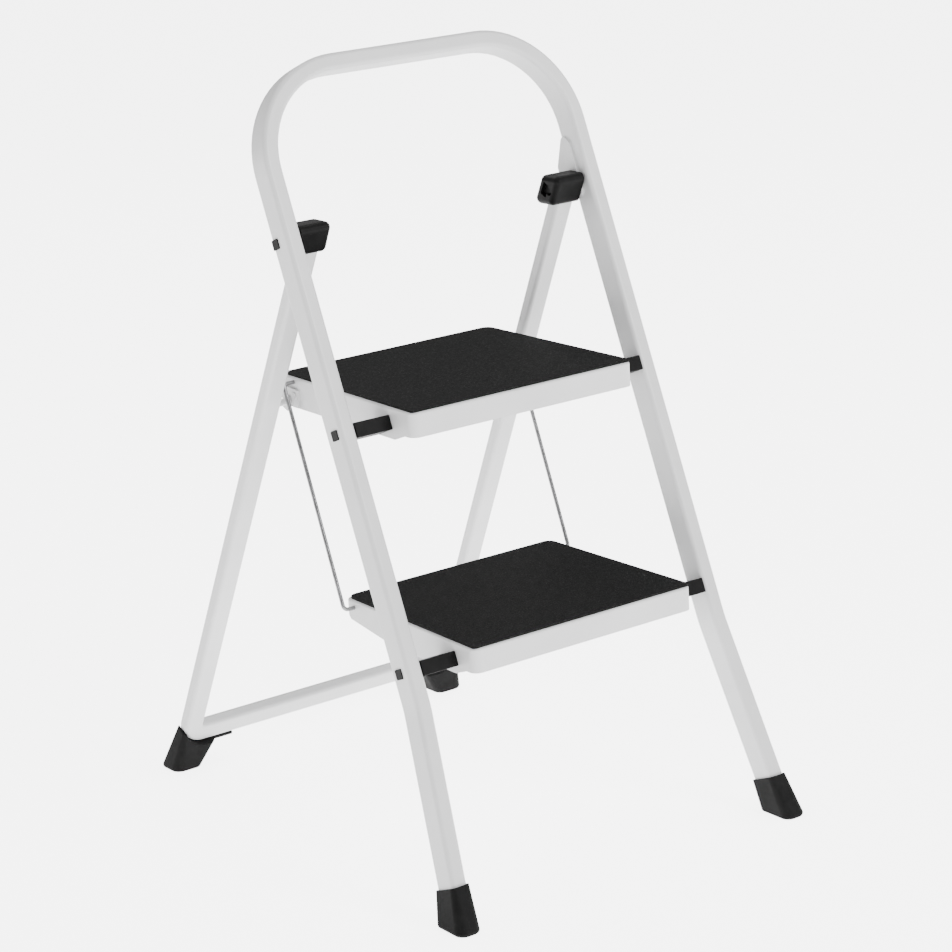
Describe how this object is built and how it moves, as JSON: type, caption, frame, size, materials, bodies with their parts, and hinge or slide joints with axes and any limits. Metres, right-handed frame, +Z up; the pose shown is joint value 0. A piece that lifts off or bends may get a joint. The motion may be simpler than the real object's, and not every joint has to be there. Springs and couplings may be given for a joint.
{
  "type": "step stool",
  "caption": "Folding two-step stool with a white tubular steel frame, hand rail, black rubber step mats, spacer blocks and feet",
  "frame": {"origin": "on the floor at the centre of the opened stool's bounding box", "axes": "+Z up, +Y from the front feet to the back feet, +X to the right seen from the front"},
  "size_m": [0.4286, 0.5933, 0.7797],
  "materials": {
    "white_paint": "smooth white powder coat",
    "mat_rubber": "matt, finely grained",
    "foot_rubber": "matt moulded rubber",
    "black_plastic": "moulded, satin",
    "black_steel": "black oxide",
    "bright_steel": "zinc plated, bright"
  },
  "bodies": {
    "front_frame": {"front_foot_left": "foot_rubber", "front_foot_right": "foot_rubber", "front_frame": "white_paint", "hinge_ear_left": "white_paint", "hinge_ear_right": "white_paint", "hinge_pin_left": "black_steel", "hinge_pin_right": "black_steel", "hinge_plug_left": "black_plastic", "hinge_plug_right": "black_plastic", "lower_block_left": "black_plastic", "lower_block_right": "black_plastic", "lower_pivot_pin_left": "bright_steel", "lower_pivot_pin_right": "bright_steel", "lower_pivot_plug_left": "black_plastic", "lower_pivot_plug_right": "black_plastic", "upper_block_left": "black_plastic", "upper_block_right": "black_plastic", "upper_pivot_pin_left": "bright_steel", "upper_pivot_pin_right": "bright_steel", "upper_pivot_plug_left": "black_plastic", "upper_pivot_plug_right": "black_plastic"},
    "rear_frame": {"hinge_housing_left": "black_plastic", "hinge_housing_right": "black_plastic", "rear_foot_left": "foot_rubber", "rear_foot_right": "foot_rubber", "rear_frame": "white_paint", "rest_stud_left": "white_paint", "rest_stud_right": "white_paint"},
    "upper_step": {"hook_plate_left": "white_paint", "hook_plate_right": "white_paint", "hook_rivets_left": "white_paint", "hook_rivets_right": "white_paint", "upper_step_mat": "mat_rubber", "upper_step_pan": "white_paint"},
    "lower_step": {"lower_step_mat": "mat_rubber", "lower_step_pan": "white_paint"},
    "link_rod_left": {"link_rod_left": "bright_steel", "rod_clips_left": "bright_steel"},
    "link_rod_right": {"link_rod_right": "bright_steel", "rod_clips_right": "bright_steel"}
  },
  "joints": [
    {"name": "upper_step_tilt", "type": "hinge", "parent": "front_frame", "child": "upper_step", "pos_m": [0, -0.10691, 0.44316], "axis": [1, 0, 0], "range_deg": [0, 56]},
    {"name": "lower_step_tilt", "type": "hinge", "parent": "front_frame", "child": "lower_step", "pos_m": [0, -0.18679, 0.22616], "axis": [1, 0, 0], "range_deg": [0, 56]},
    {"name": "rear_frame_fold", "type": "hinge", "parent": "front_frame", "child": "rear_frame", "pos_m": [0, -0.02877, 0.61558], "axis": [-1, 0, 0], "range_deg": [0, 39.2]},
    {"name": "rod_swing_left", "type": "hinge", "parent": "upper_step", "child": "link_rod_left", "pos_m": [-0.1275, 0.05809, 0.45616], "axis": [1, 0, 0], "range_deg": [-56, 0]},
    {"name": "rod_swing_right", "type": "hinge", "parent": "upper_step", "child": "link_rod_right", "pos_m": [0.1275, 0.05809, 0.45616], "axis": [1, 0, 0], "range_deg": [-56, 0]}
  ],
  "couplings": [
    {"joint": "lower_step_tilt", "follows": "upper_step_tilt", "ratio": 1},
    {"joint": "rear_frame_fold", "follows": "upper_step_tilt", "ratio": 0.7},
    {"joint": "rod_swing_left", "follows": "upper_step_tilt", "ratio": -1},
    {"joint": "rod_swing_right", "follows": "upper_step_tilt", "ratio": -1}
  ]
}
